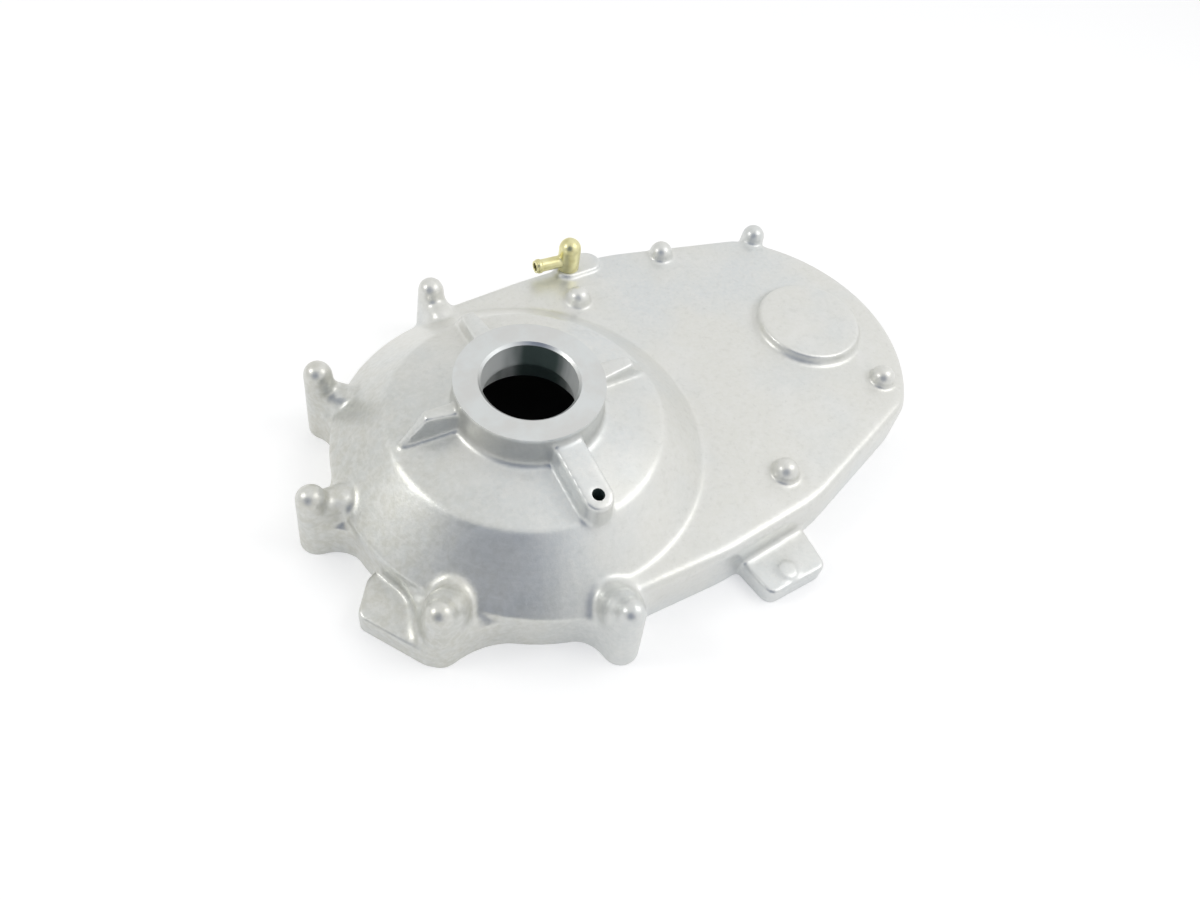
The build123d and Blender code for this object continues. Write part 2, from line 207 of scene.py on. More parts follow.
def lathe_tool(name, profile, centre=(0.0, 0.0), steps=144):
    """A closed turned tool: profile is (radius, height) in millimetres from axis to axis."""
    work = bmesh.new()
    rings = []
    for radius, height in profile:
        if radius == 0:
            rings.append([work.verts.new((centre[0] * MM, centre[1] * MM, height * MM))])
            continue
        ring = []
        for step in range(steps):
            turn = math.tau * step / steps
            x = centre[0] + radius * math.cos(turn)
            y = centre[1] + radius * math.sin(turn)
            ring.append(work.verts.new((x * MM, y * MM, height * MM)))
        rings.append(ring)
    for low, high in zip(rings, rings[1:]):
        for step in range(steps):
            after = (step + 1) % steps
            corners = [low[step % len(low)], low[after % len(low)], high[after % len(high)], high[step % len(high)]]
            corners = list(dict.fromkeys(corners))
            work.faces.new(corners)
    bmesh.ops.recalc_face_normals(work, faces=work.faces)
    mesh = bpy.data.meshes.new(name)
    work.to_mesh(mesh)
    work.free()
    return link(mesh, name)


def plug(name, radius, low, high, centre=(0.0, 0.0), steps=144):
    """A closed cylinder between two heights in millimetres."""
    return lathe_tool(name, ((0, low), (radius, low), (radius, high), (0, high)), centre, steps)


def box_tool(name, low, high):
    """A closed box between two corners in millimetres."""
    work = bmesh.new()
    bmesh.ops.create_cube(work, size=1.0)
    for vert in work.verts:
        for axis in range(3):
            share = vert.co[axis] + 0.5
            vert.co[axis] = (low[axis] + share * (high[axis] - low[axis])) * MM
    mesh = bpy.data.meshes.new(name)
    work.to_mesh(mesh)
    work.free()
    return link(mesh, name)


def combine(piece, tools, operation):
    """Adds or cuts closed tools, one after the other, and deletes them."""
    for tool in tools:
        step = piece.modifiers.new(tool.name, "BOOLEAN")
        step.operation = operation
        step.solver = "MANIFOLD"
        step.object = tool
    bake_modifiers(piece)
    for tool in tools:
        mesh = tool.data
        bpy.data.objects.remove(tool)
        bpy.data.meshes.remove(mesh)


def mesh_arrays(mesh):
    """Points, edges and triangles of a mesh as arrays."""
    points = np.empty(len(mesh.vertices) * 3)
    mesh.vertices.foreach_get("co", points)
    edges = np.empty(len(mesh.edges) * 2, dtype=np.int64)
    mesh.edges.foreach_get("vertices", edges)
    mesh.calc_loop_triangles()
    faces = np.empty(len(mesh.loop_triangles) * 3, dtype=np.int64)
    mesh.loop_triangles.foreach_get("vertices", faces)
    return points.reshape(-1, 3), edges.reshape(-1, 2), faces.reshape(-1, 3)


def point_normals(points, faces):
    """Unit normals at the points, weighted by area."""
    across = np.cross(points[faces[:, 1]] - points[faces[:, 0]], points[faces[:, 2]] - points[faces[:, 0]])
    total = np.zeros_like(points)
    for corner in range(3):
        for axis in range(3):
            total[:, axis] += np.bincount(faces[:, corner], across[:, axis], len(points))
    return total / np.maximum(np.linalg.norm(total, axis=1), 1e-18)[:, None]


def neighbour_mean(values, edges, count):
    """Mean of each point's neighbours."""
    total = np.empty_like(values)
    for axis in range(values.shape[1]):
        total[:, axis] = (
            np.bincount(edges[:, 0], values[edges[:, 1], axis], len(values))
            + np.bincount(edges[:, 1], values[edges[:, 0], axis], len(values))
        )
    return total / count[:, None]


def soften(points, edges, faces, passes, valley, ridge, share=None):
    """Fills valleys and rounds ridges, each by its own share of the way to the neighbours' mean."""
    count = np.maximum(np.bincount(edges.ravel(), minlength=len(points)), 1)
    for _ in range(passes):
        move = neighbour_mean(points, edges, count) - points
        outward = (move * point_normals(points, faces)).sum(axis=1)
        rate = np.where(outward > 0, valley, ridge)
        if share is not None:
            rate = rate * share
        points += move * rate[:, None]


def near_places(points, places, inner, outer):
    """1 within an inner distance of any place in plan, falling to 0 at the outer one."""
    best = np.full(len(points), np.inf)
    for x, y in places:
        best = np.minimum(best, np.hypot(points[:, 0] - x * MM, points[:, 1] - y * MM))
    return np.clip((outer * MM - best) / ((outer - inner) * MM), 0, 1)


def add_edge_marks(mesh, reach):
    """Stores how ridged and how hollow the surface is at each point, for the finishes."""
    points, edges, faces = mesh_arrays(mesh)
    count = np.maximum(np.bincount(edges.ravel(), minlength=len(points)), 1)
    normals = point_normals(points, faces)
    span = np.linalg.norm(points[edges[:, 0]] - points[edges[:, 1]], axis=1)
    reach_at = np.bincount(edges.ravel(), np.repeat(span, 2), len(points)) / count
    bend = ((points - neighbour_mean(points, edges, count)) * normals).sum(axis=1)
    bend = (bend / np.maximum(reach_at, 1e-9) ** 2 * reach * MM)[:, None]
    for _ in range(MARK_PASSES):
        bend = 0.5 * bend + 0.5 * neighbour_mean(bend, edges, count)
    for label, sign in (("ridge", 1.0), ("hollow", -1.0)):
        layer = mesh.attributes.new(label, "FLOAT", "POINT")
        layer.data.foreach_set("value", np.clip(sign * bend[:, 0], 0, 1).astype(np.float32))


# ---- shader helpers

class Wire:
    """An output of a node that can be used in sums."""

    def __init__(self, graph, socket):
        self.graph = graph
        self.socket = socket

    def __add__(self, other):
        return self.graph.maths("ADD", self, other)

    __radd__ = __add__

    def __mul__(self, other):
        return self.graph.maths("MULTIPLY", self, other)

    __rmul__ = __mul__

    def __sub__(self, other):
        return self.graph.maths("SUBTRACT", self, other)

    def __rsub__(self, other):
        return self.graph.maths("SUBTRACT", other, self)

    def __truediv__(self, other):
        return self.graph.maths("DIVIDE", self, other)


class Graph:
    """A node tree that is written as expressions."""

    def __init__(self, tree):
        self.tree = tree
        tree.nodes.clear()

    def node(self, kind, settings=None, inputs=None, output=0):
        """Adds a node: its settings first, then the values or links of its sockets."""
        node = self.tree.nodes.new(kind)
        for name, value in (settings or {}).items():
            setattr(node, name, value)
        for name, value in (inputs or {}).items():
            if isinstance(value, Wire):
                self.tree.links.new(value.socket, node.inputs[name])
            else:
                node.inputs[name].default_value = value
        return Wire(self, node.outputs[output]) if node.outputs else None

    def maths(self, operation, first, second=0.0):
        return self.node("ShaderNodeMath", {"operation": operation}, {0: first, 1: second})

    def vector(self, operation, first, second=(0.0, 0.0, 0.0), output=0):
        return self.node("ShaderNodeVectorMath", {"operation": operation}, {0: first, 1: second}, output)

    def mix(self, factor, first, second):
        """A colour between two colours."""
        return self.node("ShaderNodeMix", {"data_type": "RGBA"}, {0: factor, 6: first, 7: second}, 2)

    def noise(self, place, size, detail, roughness=0.55, distortion=0.0):
        """Noise whose features are about a size in millimetres."""
        inputs = {
            "Vector": place, "Scale": 1.0 / (size * MM), "Detail": detail,
            "Roughness": roughness, "Distortion": distortion,
        }
        return self.node("ShaderNodeTexNoise", None, inputs)

    def band(self, value, low, high):
        """0 below low, 1 above high, smooth between."""
        inputs = {"Value": value, "From Min": low, "From Max": high}
        return self.node("ShaderNodeMapRange", {"interpolation_type": "SMOOTHSTEP"}, inputs)

    def ring(self, radius, places):
        """1 on a ring, with the radii in millimetres at which it fades in and out."""
        start, full, fade, end = (place * MM for place in places)
        return self.band(radius, start, full) - self.band(radius, fade, end)

    def split(self, vector):
        """The three parts of a vector."""
        node = self.node("ShaderNodeSeparateXYZ", None, {0: vector}).socket.node
        return [Wire(self, socket) for socket in node.outputs]


def new_finish(name):
    """An empty material and its graph."""
    finish = bpy.data.materials.new(name)
    finish.use_nodes = True
    return finish, Graph(finish.node_tree)


def close_finish(graph, colour, roughness, height, step, values):
    """Ends a finish in one Principled surface with a bump."""
    bump = graph.node("ShaderNodeBump", None, {"Strength": 1.0, "Distance": step * MM, "Height": height})
    roughness = graph.maths("MAXIMUM", roughness, LEAST_ROUGHNESS)
    inputs = {"Base Color": colour, "Roughness": roughness, "Normal": bump}
    inputs.update(values)
    surface = graph.node("ShaderNodeBsdfPrincipled", None, inputs)
    graph.node("ShaderNodeOutputMaterial", None, {"Surface": surface})


def cast_finish(look):
    """As-cast aluminium: mottled, faintly grained, stained in its corners, with highlights painted on its ridges and
    creases and shade painted in its hollows.
    """
    finish, graph = new_finish("cast_aluminium_skin")
    place = graph.node("ShaderNodeTexCoord", output="Object")
    x, y, z = graph.split(place)
    ridge = graph.node("ShaderNodeAttribute", {"attribute_name": "ridge"}, output="Fac")
    hollow = graph.node("ShaderNodeAttribute", {"attribute_name": "hollow"}, output="Fac")

    cloud = graph.noise(place, 85, 3)
    mottle = graph.noise(place, 24, 4, 0.6, 0.4)
    patch = graph.noise(place, 7, 3, 0.6)
    grain = graph.noise(place, 1.3, 2)
    dust = graph.noise(place, 0.45, 1)

    # Flow of the metal round the bore axis: stretched noise in turned coordinates
    radius = graph.maths("SQRT", x * x + y * y)
    turn = graph.maths("ARCTAN2", y, x)
    turned = graph.node("ShaderNodeCombineXYZ", None, {0: turn * 0.02, 1: radius, 2: z})
    flow = graph.noise(turned, 1.8, 4, 0.6, 0.2)

    # Clouds of warm and cool grey, and an olive stain on the round end and in corners
    colour = graph.mix(graph.band(cloud, 0.38, 0.64), look["cool"], look["warm"])
    colour = graph.mix(graph.band(mottle, 0.46, 0.72) * 0.5, colour, look["pale"])
    stain = graph.band(x, 0.0, -0.11) * (0.28 + graph.band(patch, 0.35, 0.65) * 0.22)
    stain = stain + graph.band(y, -0.075, -0.105) * graph.band(x, 0.02, -0.04) * 0.16
    corner_stain = graph.band(patch, 0.4, 0.7) * hollow * 0.8
    colour = graph.mix(graph.maths("MAXIMUM", stain, corner_stain), colour, look["stain"])

    # Painted highlights on the creases at the foot of the skirt and of the collar, ridges lighter partly as rubbed wear
    # and partly as painted highlight, painted shade in the other hollows
    crease = graph.ring(radius, SKIRT_CREASE) * graph.band(z, 0.0300, 0.0312) * graph.band(x, 0.0, 0.03)
    crease = crease + graph.ring(radius, COLLAR_CREASE) * graph.band(z, 0.0605, 0.0612)
    wear_and_painted_highlight = graph.maths("MAXIMUM", ridge * 0.75, crease * graph.band(hollow, 0.1, 0.5) * 0.9)
    # Painted shade: hollows darkened towards the dirt colour, except on the creases
    colour = graph.mix((1.0 - crease) * hollow * 0.35, colour, look["dirt"])
    colour = graph.mix(wear_and_painted_highlight, colour, look["bright"])

    # Fine specks and patches, pale streaks round the skirt, painted shade on the lower side of the collar
    speck = graph.band(grain, 0.58, 0.74) * 0.20 + graph.band(graph.noise(place, 4.5, 3), 0.52, 0.70) * 0.10
    colour = graph.mix(speck, colour, look["dirt"])
    colour = graph.mix(graph.band(graph.noise(place, 2.6, 2), 0.40, 0.66) * 0.34, colour, look["pale"])
    streak = graph.band(flow, 0.50, 0.72) * graph.ring(radius, SKIRT_STREAKS)
    colour = graph.mix(streak * 0.30, colour, look["pale"])
    collar_painted_shade = graph.band(radius, 0.0435, 0.0412) * graph.band(z, 0.0818, 0.0790) * graph.band(z, 0.0600, 0.0625)
    colour = graph.mix(collar_painted_shade * (0.30 + patch * 0.30), colour, look["dirt"])

    rough = 0.35 + (mottle - 0.5) * 0.16 + (grain - 0.5) * 0.10 + (flow - 0.5) * 0.08 - ridge * 0.08 + hollow * 0.08
    height = grain * 0.12 + dust * 0.05 + mottle * 0.36 + patch * 0.22 + flow * 0.07
    close_finish(graph, colour, rough, height, 0.35, {"Metallic": 0.57})
    return finish


def machined_finish(look):
    """Turned and milled aluminium with fine tool marks."""
    finish, graph = new_finish("machined_aluminium")
    place = graph.node("ShaderNodeTexCoord", output="Object")
    x, y, z = graph.split(place)
    radius = graph.maths("SQRT", x * x + y * y)
    mottle = graph.noise(place, 16, 3)
    dust = graph.noise(place, 0.5, 1)
    marks = graph.maths("SINE", radius * (math.tau / (0.55 * MM))) + graph.maths("SINE", z * (math.tau / (0.5 * MM)))
    colour = graph.mix(graph.band(mottle, 0.35, 0.65), look["machined"], look["cool"])
    rough = 0.36 + (mottle - 0.5) * 0.14 + (dust - 0.5) * 0.08
    close_finish(graph, colour, rough, marks * 0.03 + dust * 0.05, 0.25, {"Metallic": 0.92})
    return finish


def bore_finish(look):
    """Aluminium of the seal seat and the bearing seat, painted dark as shade, with lighter painted reflections on the
    walls aside from the far one.
    """
    finish, graph = new_finish("bored_aluminium")
    place = graph.node("ShaderNodeTexCoord", output="Object")
    x, y, z = graph.split(place)
    turn = graph.maths("ARCTAN2", y, x)
    along = graph.node("ShaderNodeCombineXYZ", None, {0: turn * 0.026, 1: 0.0, 2: z * 0.12})
    streak = graph.noise(along, 11, 2)
    mottle = graph.noise(place, 14, 3)
    dust = graph.noise(place, 0.5, 1)
    marks = graph.maths("SINE", z * (math.tau / (0.5 * MM)))
    # Painted reflection: the walls grow lighter away from the far wall's heading, in streaks; none beyond the bore, so
    # the lug hole stays dark
    painted_reflection = graph.band(graph.maths("ABSOLUTE", turn - DARK_REFLECTION_HEADING) + (streak - 0.5) * 0.8, 0.28, 0.92)
    painted_reflection = painted_reflection * graph.band(graph.maths("SQRT", x * x + y * y), 0.050, 0.040)
    colour = graph.mix(painted_reflection, look["bored"], look["bored_light"])
    rough = 0.42 + (mottle - 0.5) * 0.14 + (dust - 0.5) * 0.08
    close_finish(graph, colour, rough, marks * 0.03 + dust * 0.05, 0.25, {"Metallic": 0.25})
    return finish


def brass_finish(look):
    """Turned brass, a little dulled, with shade painted into its hollows."""
    finish, graph = new_finish("turned_brass")
    place = graph.node("ShaderNodeTexCoord", output="Object")
    hollow = graph.node("ShaderNodeAttribute", {"attribute_name": "hollow"}, output="Fac")
    mottle = graph.noise(place, 5, 3)
    dust = graph.noise(place, 0.35, 1)
    colour = graph.mix(graph.band(mottle, 0.35, 0.7), look["brass"], look["brass_dull"])
    # Painted shade: hollows darkened towards deep brass
    colour = graph.mix(hollow * 0.6, colour, look["brass_deep"])
    rough = 0.33 + (mottle - 0.5) * 0.12 + (dust - 0.5) * 0.08
    close_finish(graph, colour, rough, mottle * 0.2 + dust * 0.08, 0.15, {"Metallic": 0.95})
    return finish


# ---- settings

def length(name, description, default, low, high):
    """A length property in metres, given in millimetres."""
    return bpy.props.FloatProperty(
        name=name, description=description, default=default * MM, min=low * MM, max=high * MM,
        unit="LENGTH", subtype="DISTANCE",
    )


def colour(name, description, default):
    """A colour property."""
    return bpy.props.FloatVectorProperty(
        name=name, description=description, default=default, size=4, min=0.0, max=1.0, subtype="COLOR",
    )


class HousingSizes(bpy.types.PropertyGroup):
    """Sizes of the dressed pieces"""

    grid: length("Grid", "Width of the grid that the cast skin is wrapped on", 1.1, 0.5, 4.0)
    elbow_grid: length("Elbow grid", "Width of the grid that the elbow is wrapped on", 0.3, 0.1, 1.0)
    root_passes: bpy.props.IntProperty(
        name="Root fillets", description="How far the cast roots are filled", default=12, min=0, max=60,
    )
    web_passes: bpy.props.IntProperty(
        name="Web fillets", description="How far the roots round the tall bosses are filled", default=26, min=0, max=90,
    )
    mound_passes: bpy.props.IntProperty(
        name="Mounds", description="How far the two near bosses grow into their webs", default=120, min=0, max=200,
    )
    edge_passes: bpy.props.IntProperty(
        name="Edge rounding", description="How far the cast edges are rounded", default=3, min=0, max=20,
    )
    triangles: bpy.props.IntProperty(
        name="Triangles", description="Most triangles in the cast skin", default=170000, min=20000, max=195000,
    )
    elbow_edge_passes: bpy.props.IntProperty(
        name="Elbow edges", description="How far the elbow's edges are rounded", default=2, min=0, max=20,
    )
    elbow_root_passes: bpy.props.IntProperty(
        name="Elbow root", description="How far the root of the elbow's tube is filled", default=10, min=0, max=60,
    )
    elbow_triangles: bpy.props.IntProperty(
        name="Elbow triangles", description="Most triangles in the elbow", default=30000, min=2000, max=100000,
    )
    thread_pitch: length("Thread pitch", "Pitch of the tapped holes", 1.25, 0.5, 3.0)
    thread_depth: length("Thread depth", "How far the thread stands into the hole", 0.6, 0.1, 1.5)
    thread_steps: bpy.props.IntProperty(
        name="Thread steps", description="Points in each turn of a thread", default=32, min=8, max=96,
    )


class HousingColours(bpy.types.PropertyGroup):
    """Colours of the finishes"""

    warm: colour("Warm grey", "Cast aluminium where it is warm", (0.765, 0.765, 0.725, 1.0))
    cool: colour("Cool grey", "Cast aluminium where it is cool", (0.720, 0.745, 0.745, 1.0))
    pale: colour("Pale grey", "Lightest patches of the cast skin", (0.820, 0.820, 0.798, 1.0))
    # Rubbed edges, and the highlight painted on ridges and creases
    bright: colour("Bright edge", "Cast aluminium where edges are rubbed", (0.90, 0.90, 0.88, 1.0))
    stain: colour("Stain", "Olive stain in corners", (0.520, 0.500, 0.400, 1.0))
    # Used for real specks and for shade painted into hollows and on the collar's lower side
    dirt: colour("Dirt", "Darkening in hollows", (0.400, 0.400, 0.370, 1.0))
    machined: colour("Machined", "Turned and milled aluminium", (0.68, 0.685, 0.675, 1.0))
    # Painted shade of the bores and the lug hole, and their lighter painted reflections
    bored: colour("Bored", "Oiled aluminium in the bores", (0.085, 0.120, 0.112, 1.0))
    bored_light: colour("Bored, light", "Lighter patches in the bores", (0.76, 0.78, 0.77, 1.0))
    brass: colour("Brass", "Turned brass", (0.82, 0.78, 0.46, 1.0))
    brass_dull: colour("Dulled brass", "Brass where it is dulled", (0.72, 0.67, 0.36, 1.0))
    # Shade painted into the brass's hollows
    brass_deep: colour("Deep brass", "Brass in its corners", (0.34, 0.31, 0.13, 1.0))


class HousingStage(bpy.types.PropertyGroup):
    """Studio and camera"""

    floor: colour("Floor", "Colour of the floor", (0.80, 0.80, 0.80, 1.0))
    floor_glow: bpy.props.FloatProperty(
        name="Floor glow", description="How much whiter the floor is where the camera or a mirror sees it",
        default=0.37, min=0.0, max=1.0,
    )
    lens: bpy.props.FloatProperty(
        name="Lens", description="Focal length on a 36 mm sensor", default=26.987, min=10.0, max=120.0,
        unit="CAMERA",
    )
    distance: length("Distance", "Camera to the point looked at", 503.829, 100.0, 3000.0)
    azimuth: bpy.props.FloatProperty(
        name="Azimuth", description="Heading from the point looked at to the camera", default=-2.292,
        subtype="ANGLE",
    )
    elevation: bpy.props.FloatProperty(
        name="Elevation", description="Height of the camera above the horizon", default=0.914, subtype="ANGLE",
    )
    roll: bpy.props.FloatProperty(name="Roll", description="Turn about the view", default=0.211, subtype="ANGLE")


def look_values(colours):
    """The colours by name, as plain tuples."""
    return {name: tuple(getattr(colours, name)) for name in HousingColours.__annotations__}


# ---- pieces

def sound_blank(name):
    """The casting before machining: bores filled, stock left on the machined faces."""
    blank = welded_copy("housing", name)
    points, _, _ = mesh_arrays(blank.data)
    on_joint = np.abs(points[:, 2] - JOINT_Z * MM) < FLAT_TOLERANCE * MM
    points[on_joint, 2] -= MACHINING_STOCK * MM
    reach = np.hypot(points[:, 0], points[:, 1])
    on_collar = (points[:, 2] > (COLLAR_TOP - FLAT_TOLERANCE) * MM) & (reach < (COLLAR_RADIUS + FILL_HEIGHT) * MM)
    points[on_collar, 2] += MACHINING_STOCK * MM
    blank.data.vertices.foreach_set("co", points.ravel())
    blank.data.update()
    low, high = BEARING_MOUTH + FILL_HEIGHT, COLLAR_TOP + MACHINING_STOCK - 0.2
    fills = [plug("bore_fill", BEARING_RADIUS + FILL_RADIUS, low, high)]
    low, high = POCKET_MOUTH + FILL_HEIGHT, RELIEF_TOP + FILL_HEIGHT
    fills.append(plug("pocket_fill", POCKET_RADIUS + FILL_RADIUS, low, high, (PAD_X, 0.0)))
    low, high = JOINT_Z - MACHINING_STOCK + 0.1, DRILL_DEPTH + DRILL_POINT + DRILL_FILL
    for number, place in enumerate(TALL_BOSSES + DECK_BOSSES):
        fills.append(plug(f"drill_fill_{number}", DRILL_RADIUS + DRILL_FILL, low, high, place, 24))
    low = LUG_HOLE_FLOOR - FILL_HEIGHT
    fills.append(plug("lug_fill", DRILL_RADIUS + DRILL_FILL, low, LUG_FILL_TOP, LUG_HOLE, 24))
    for number, (x, y) in enumerate(NEAR_BOSSES):
        inward = 1.0 - MOUND_INSET / math.hypot(x, y)
        profile = [(0, MOUND_FLOOR), (MOUND_RADIUS, MOUND_FLOOR)]
        for turn in np.linspace(0, math.pi / 2, 9)[:0:-1]:
            profile.append((MOUND_RADIUS * math.sin(turn), MOUND_HEIGHT + MOUND_RADIUS * math.cos(turn)))
        profile.append((0, MOUND_HEIGHT + MOUND_RADIUS))
        fills.append(lathe_tool(f"mound_{number}", profile, (x * inward, y * inward), 48))
    combine(blank, fills, "UNION")
    return blank


def wrap_on_grid(piece, grid):
    """Wraps the piece on an even grid of the given width."""
    step = piece.modifiers.new("wrap", "REMESH")
    step.mode = "VOXEL"
    step.voxel_size = grid
    bake_modifiers(piece)


def thin_out(piece, triangles):
    """Collapses flat places until about that many triangles are left."""
    piece.data.calc_loop_triangles()
    share = triangles / len(piece.data.loop_triangles)
    if share < 1:
        step = piece.modifiers.new("thin", "DECIMATE")
        step.ratio = share
        bake_modifiers(piece)


def machining_tools():
    """Cutters for every machined place of the casting."""
    tools = [
        box_tool("joint_cut", JOINT_CUT_LOW, JOINT_CUT_HIGH),
        box_tool("collar_cut", COLLAR_CUT_LOW, COLLAR_CUT_HIGH),
        lathe_tool("bore_cut", (
            (0, BORE_CUT_LOW), (BEARING_RADIUS, BORE_CUT_LOW), (BEARING_RADIUS, SEAT_TOP), (LIP_RADIUS, SEAT_TOP),
            (LIP_RADIUS, LIP_CONE_LOW), (SEAL_RADIUS, LIP_CONE_HIGH),
            (SEAL_RADIUS, COLLAR_TOP - SEAL_CHAMFER), (SEAL_RADIUS + SEAL_CHAMFER, COLLAR_TOP),
            (SEAL_RADIUS + SEAL_CHAMFER, BORE_CUT_HIGH), (0, BORE_CUT_HIGH),
        )),
        lathe_tool("pocket_cut", (
            (0, POCKET_CUT_LOW), (POCKET_RADIUS, POCKET_CUT_LOW), (POCKET_RADIUS, POCKET_TOP),
            (RELIEF_RADIUS, POCKET_TOP), (RELIEF_RADIUS, RELIEF_TOP), (0, RELIEF_TOP),
        ), (PAD_X, 0.0), 96),
        plug("lug_cut", DRILL_RADIUS, LUG_HOLE_FLOOR, LUG_HOLE_TOP, LUG_HOLE, 48),
    ]
    for number, place in enumerate(TALL_BOSSES + DECK_BOSSES):
        tools.append(lathe_tool(f"drill_cut_{number}", (
            (0, DRILL_CUT_LOW), (MOUTH_RADIUS, DRILL_CUT_LOW), (MOUTH_RADIUS, JOINT_Z),
            (THREAD_ROOT, MOUTH_RADIUS - THREAD_ROOT), (THREAD_ROOT, THREAD_FOOT + THREAD_RUN),
            (DRILL_RADIUS, THREAD_FOOT + THREAD_RUN + THREAD_RUNOUT),
            (DRILL_RADIUS, DRILL_DEPTH), (0, DRILL_DEPTH + DRILL_POINT),
        ), place, 48))
    return tools


def mark_machined(mesh):
    """Gives machined faces the second material, bores the third one, and keeps their edges sharp."""
    mesh.materials.clear()
    work = bmesh.new()
    work.from_mesh(mesh)
    middle = np.array([face.calc_center_median() for face in work.faces]) / MM
    normal = np.array([face.normal for face in work.faces])
    reach = np.hypot(middle[:, 0], middle[:, 1])
    pocket_reach = np.hypot(middle[:, 0] - PAD_X, middle[:, 1])
    height = middle[:, 2]
    machined = (normal[:, 2] < -LEVEL_NORMAL) & (height < JOINT_Z + NEAR_FACE)
    machined |= (normal[:, 2] > LEVEL_NORMAL) & (height > COLLAR_TOP - NEAR_FACE)
    in_bore = reach < BEARING_RADIUS + NEAR_WALL
    machined |= in_bore & (height > BEARING_MOUTH - NEAR_MOUTH) & (height < COLLAR_TOP)
    in_pocket = pocket_reach < POCKET_RADIUS + NEAR_WALL
    machined |= in_pocket & (height > POCKET_MOUTH - NEAR_MOUTH) & (height < RELIEF_TOP + NEAR_END)
    for x, y in TALL_BOSSES + DECK_BOSSES:
        near = np.hypot(middle[:, 0] - x, middle[:, 1] - y) < MOUTH_RADIUS
        machined |= near & (height < DRILL_DEPTH + DRILL_POINT + NEAR_END)
    in_lug = np.hypot(middle[:, 0] - LUG_HOLE[0], middle[:, 1] - LUG_HOLE[1]) < DRILL_RADIUS + 0.01
    machined |= in_lug & (height > LUG_HOLE_FLOOR - NEAR_END) & (height < LUG_HOLE_TOP)
    # The bores and the lug hole get the finish with painted shade and painted reflections
    bored = machined & in_bore & (height < COLLAR_TOP - SEAL_CHAMFER)
    bored |= machined & in_lug
    for face, cut, dark in zip(work.faces, machined, bored):
        face.smooth = True
        face.material_index = 2 if dark else int(cut)
    for edge in work.edges:
        touching = [face.material_index for face in edge.link_faces]
        if len(touching) == 2 and max(touching) > 0 and edge.calc_face_angle(0.0) > SHARP_ANGLE:
            edge.smooth = False
    work.to_mesh(mesh)
    work.free()


def finish_piece(piece, node, slot, *finishes):
    """Materials, body and the node that the piece stands for; the slot is not used."""
    for finish in finishes:
        piece.data.materials.append(finish)
    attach(piece, "root")
    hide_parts(node)


class HOUSING_OT_casting(bpy.types.Operator):
    """Make the casting: a blank with soft roots and edges, machined at its seats and faces"""

    bl_idname = "housing.casting"
    bl_label = "Casting"

    def execute(self, context):
        sizes = context.scene.housing_sizes
        look = look_values(context.scene.housing_colours)
        casting = sound_blank("casting")
        wrap_on_grid(casting, sizes.grid)
        points, edges, faces = mesh_arrays(casting.data)
        soften(points, edges, faces, sizes.edge_passes, VALLEYS, EDGE_RIDGES)
        soften(points, edges, faces, sizes.root_passes, VALLEYS, ROOT_RIDGES)
        near = near_places(points, TALL_BOSSES, *WEB_REACH)
        soften(points, edges, faces, sizes.web_passes, VALLEYS, WEB_RIDGES, near)
        near = near_places(points, NEAR_BOSSES, *MOUND_REACH)
        soften(points, edges, faces, sizes.mound_passes, VALLEYS, MOUND_RIDGES, near)
        casting.data.vertices.foreach_set("co", points.ravel())
        casting.data.update()
        thin_out(casting, sizes.triangles)
        combine(casting, machining_tools(), "DIFFERENCE")
        mark_machined(casting.data)
        add_edge_marks(casting.data, CASTING_MARKS)
        finishes = (cast_finish(look), machined_finish(look), bore_finish(look))
        finish_piece(casting, "housing", "cast_aluminium", *finishes)
        return {"FINISHED"}


def thread_group():
    """Node group that winds a thread inwards from the wall of each hole; the points are the holes' places."""
    group = bpy.data.node_groups.new("tapped_thread", "GeometryNodeTree")
    sockets = (
        ("Holes", "NodeSocketGeometry"), ("Root radius", "NodeSocketFloat"), ("Pitch", "NodeSocketFloat"),
        ("Depth", "NodeSocketFloat"), ("Run", "NodeSocketFloat"), ("Steps", "NodeSocketInt"),
        ("Finish", "NodeSocketMaterial"),
    )
    for label, kind in sockets:
        group.interface.new_socket(name=label, in_out="INPUT", socket_type=kind)
    group.interface.new_socket(name="Threads", in_out="OUTPUT", socket_type="NodeSocketGeometry")
    graph = Graph(group)
    entry = graph.node("NodeGroupInput").socket.node.outputs
    given = {label: Wire(graph, entry[label]) for label, _ in sockets}
    helix = graph.node("GeometryNodeCurveSpiral", None, {
        "Resolution": given["Steps"], "Rotations": given["Run"] / given["Pitch"], "Start Radius": given["Root radius"],
        "End Radius": given["Root radius"], "Height": given["Run"],
    })
    upright = graph.node("GeometryNodeSetCurveNormal", {"mode": "Z_UP"}, {"Curve": helix})
    diamond = graph.node("GeometryNodeCurvePrimitiveCircle", None, {"Resolution": 4, "Radius": given["Depth"]})
    ridge = graph.node("GeometryNodeCurveToMesh", None, {"Curve": upright, "Profile Curve": diamond, "Fill Caps": True})
    placed = graph.node("GeometryNodeInstanceOnPoints", None, {"Points": given["Holes"], "Instance": ridge})
    real = graph.node("GeometryNodeRealizeInstances", None, {"Geometry": placed})
    flat = graph.node("GeometryNodeSetShadeSmooth", None, {"Geometry": real, "Shade Smooth": False})
    dressed = graph.node("GeometryNodeSetMaterial", None, {"Geometry": flat, "Material": given["Finish"]})
    graph.node("NodeGroupOutput", None, {"Threads": dressed})
    return group


